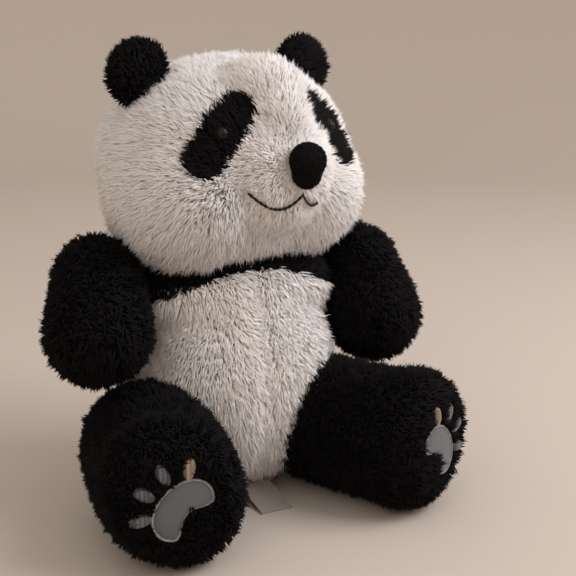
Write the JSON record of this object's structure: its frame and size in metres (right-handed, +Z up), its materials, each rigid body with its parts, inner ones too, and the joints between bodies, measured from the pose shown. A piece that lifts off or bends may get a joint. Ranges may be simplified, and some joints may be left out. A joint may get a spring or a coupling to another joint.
{
  "type": "seated plush panda",
  "caption": "Seated black and white plush panda with flexing head, ears, arms, legs and tail, embroidered foot pads and a sewn smile.",
  "frame": {"origin": "on the ground at the middle of the box of the whole toy", "axes": "+Z up, the toy faces -Y, +X is its own left side"},
  "size_m": [0.2588, 0.1997, 0.2816],
  "materials": {
    "white_plush": "long pile fur fabric",
    "black_plush": "long pile fur fabric",
    "grey_felt": "short pile with a satin stitched edge",
    "tan_thread": "satin stitch",
    "grey_thread": "satin stitch",
    "black_thread": "thread",
    "black_flock": "short velvet pile",
    "black_plastic": "polished",
    "clear_plastic": "moulded",
    "satin_label": "satin ribbon",
    "stuffing": "fibre filling",
    "pellets": "pouch of pellets"
  },
  "bodies": {
    "torso": {"torso_stuffing": "stuffing", "bean_bag": "pellets", "base_panel": "white_plush", "shoulder_yoke": "black_plush", "belly_panel_left": "white_plush", "belly_panel_right": "white_plush", "back_panel_left": "white_plush", "back_panel_right": "white_plush", "care_label": "satin_label"},
    "tail": {"tail": "white_plush"},
    "neck": {"neck_stuffing": "stuffing", "neck_collar": "black_plush"},
    "head": {"head_stuffing": "stuffing", "head_gusset": "white_plush", "cheek_panel_left": "white_plush", "cheek_panel_right": "white_plush", "head_back_panel_left": "white_plush", "head_back_panel_right": "white_plush", "muzzle_panel_left": "white_plush", "muzzle_panel_right": "white_plush", "muzzle_stuffing": "stuffing", "nose": "black_flock", "mouth_stitching": "black_thread", "eye_patch_left": "black_plush", "eye_patch_right": "black_plush", "eye_left": "black_plastic", "eye_right": "black_plastic", "eye_washer_left": "clear_plastic", "eye_washer_right": "clear_plastic", "neck_gather": "white_plush"},
    "ear_left": {"ear_front_left": "black_plush", "ear_back_left": "black_plush"},
    "arm_left": {"arm_outer_panel_left": "black_plush", "arm_inner_panel_left": "black_plush", "arm_stuffing_left": "stuffing"},
    "leg_left": {"leg_outer_panel_left": "black_plush", "leg_inner_panel_left": "black_plush", "leg_stuffing_left": "stuffing", "sole_panel_left": "black_plush", "sole_pad_left": "grey_felt", "toe_pad_1_left": "tan_thread", "toe_pad_2_left": "grey_thread", "toe_pad_3_left": "grey_thread", "toe_pad_4_left": "grey_thread"},
    "ear_right": {"ear_front_right": "black_plush", "ear_back_right": "black_plush"},
    "arm_right": {"arm_outer_panel_right": "black_plush", "arm_inner_panel_right": "black_plush", "arm_stuffing_right": "stuffing"},
    "leg_right": {"leg_outer_panel_right": "black_plush", "leg_inner_panel_right": "black_plush", "leg_stuffing_right": "stuffing", "sole_panel_right": "black_plush", "sole_pad_right": "grey_felt", "toe_pad_1_right": "tan_thread", "toe_pad_2_right": "grey_thread", "toe_pad_3_right": "grey_thread", "toe_pad_4_right": "grey_thread"}
  },
  "joints": [
    {"name": "neck_turn", "type": "hinge", "parent": "torso", "child": "neck", "pos_m": [0, 0.03154, 0.147], "axis": [0, 0, 1], "range_deg": [-44, 26], "stiffness_Nm_per_rad": 0.3},
    {"name": "neck_nod", "type": "hinge", "parent": "neck", "child": "head", "pos_m": [0, 0.03154, 0.147], "axis": [0.9863, 0.165, 0], "range_deg": [-10, 12], "stiffness_Nm_per_rad": 4},
    {"name": "tail_flex", "type": "hinge", "parent": "torso", "child": "tail", "pos_m": [0, 0.06884, 0.034], "axis": [1, 0, 0], "range_deg": [-15, 6], "stiffness_Nm_per_rad": 0.1},
    {"name": "ear_fold_left", "type": "hinge", "parent": "head", "child": "ear_left", "pos_m": [0.05763, 0.04118, 0.25794], "axis": [0.7213, 0.1207, -0.682], "range_deg": [-20, 25], "stiffness_Nm_per_rad": 0.2},
    {"name": "shoulder_left", "type": "hinge", "parent": "torso", "child": "arm_left", "pos_m": [0.0905, 0.01754, 0.134], "axis": [-1, 0, 0], "range_deg": [-15, 85], "stiffness_Nm_per_rad": 0.6},
    {"name": "hip_left", "type": "hinge", "parent": "torso", "child": "leg_left", "pos_m": [0.05, -0.00646, 0.0415], "axis": [-0.9135, -0.4067, 0], "range_deg": [-10, 10], "stiffness_Nm_per_rad": 1},
    {"name": "ear_fold_right", "type": "hinge", "parent": "head", "child": "ear_right", "pos_m": [-0.05763, 0.0219, 0.25794], "axis": [0.7213, 0.1207, 0.682], "range_deg": [-20, 25], "stiffness_Nm_per_rad": 0.2},
    {"name": "shoulder_right", "type": "hinge", "parent": "torso", "child": "arm_right", "pos_m": [-0.0905, 0.01754, 0.142], "axis": [-1, 0, 0], "range_deg": [-35, 60], "stiffness_Nm_per_rad": 0.6},
    {"name": "hip_right", "type": "hinge", "parent": "torso", "child": "leg_right", "pos_m": [-0.069, -0.00646, 0.0415], "axis": [-0.9781, 0.2079, 0], "range_deg": [-10, 10], "stiffness_Nm_per_rad": 1}
  ]
}
